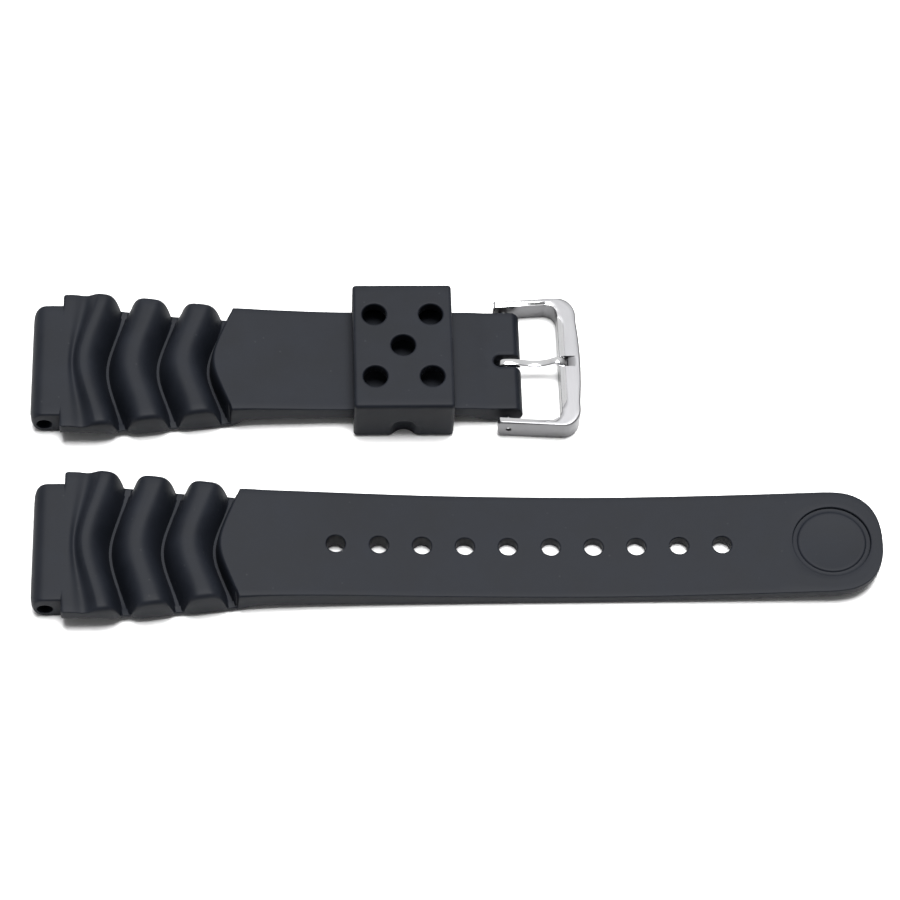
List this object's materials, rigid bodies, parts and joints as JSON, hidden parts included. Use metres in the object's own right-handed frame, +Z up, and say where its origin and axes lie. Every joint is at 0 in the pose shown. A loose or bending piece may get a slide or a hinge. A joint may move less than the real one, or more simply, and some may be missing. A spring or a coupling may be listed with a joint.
{
  "type": "rubber watch strap",
  "caption": "Rubber dive strap in a long and a short half, with bowed ribs, a perforated tail, a wide moulded keeper and a tongue buckle that swings on a spring bar.",
  "frame": {"origin": "centre of the footprint of the two halves laid side by side, on the table", "axes": "+X along both halves from the lug ends to the buckle and the tip, +Y across the straps from the tail half to the buckle half, +Z up from the table"},
  "size_m": [0.1412, 0.0616, 0.0095],
  "materials": {
    "rubber": "satin moulded rubber, very dark blue-grey",
    "brushed_steel": "brushed on top, polished inner bevels",
    "polished_steel": "polished",
    "spring_steel": "drawn wire"
  },
  "bodies": {
    "buckle_strap": {"strap_buckle_half": "rubber", "spring_bar_tube": "polished_steel", "spring_bar_coil": "spring_steel"},
    "keeper": {"keeper_loop": "rubber"},
    "frame": {"buckle_frame": "brushed_steel"},
    "tongue": {"buckle_tongue": "polished_steel"},
    "plunger_front": {"spring_bar_plunger_front": "polished_steel"},
    "plunger_back": {"spring_bar_plunger_back": "polished_steel"},
    "tail_strap": {"strap_tail_half": "rubber"}
  },
  "joints": [
    {"name": "keeper_slide", "type": "slide", "parent": "buckle_strap", "child": "keeper", "axis": [1, 0, 0], "range_m": [-0.009, 0.002]},
    {"name": "buckle_swing", "type": "hinge", "parent": "buckle_strap", "child": "frame", "pos_m": [0.00985, 0.0176, 0.00215], "axis": [0, -1, 0], "range_deg": [-100, 15]},
    {"name": "tongue_swing", "type": "hinge", "parent": "frame", "child": "tongue", "pos_m": [0.00985, 0.0176, 0.00215], "axis": [0, -1, 0], "range_deg": [0, 70]},
    {"name": "plunger_front_press", "type": "slide", "parent": "buckle_strap", "child": "plunger_front", "axis": [0, 1, 0], "range_m": [0, 0.0012], "stiffness_N_per_m": 800, "springref_m": -0.0005, "deforming": ["spring_bar_coil"]},
    {"name": "plunger_back_press", "type": "slide", "parent": "buckle_strap", "child": "plunger_back", "axis": [0, -1, 0], "range_m": [0, 0.0012], "stiffness_N_per_m": 800, "springref_m": -0.0005, "deforming": ["spring_bar_coil"]},
    {"name": "tail_half_shift", "type": "slide", "parent": "buckle_strap", "child": "tail_strap", "axis": [0, -1, 0], "range_m": [0, 0.05]}
  ]
}
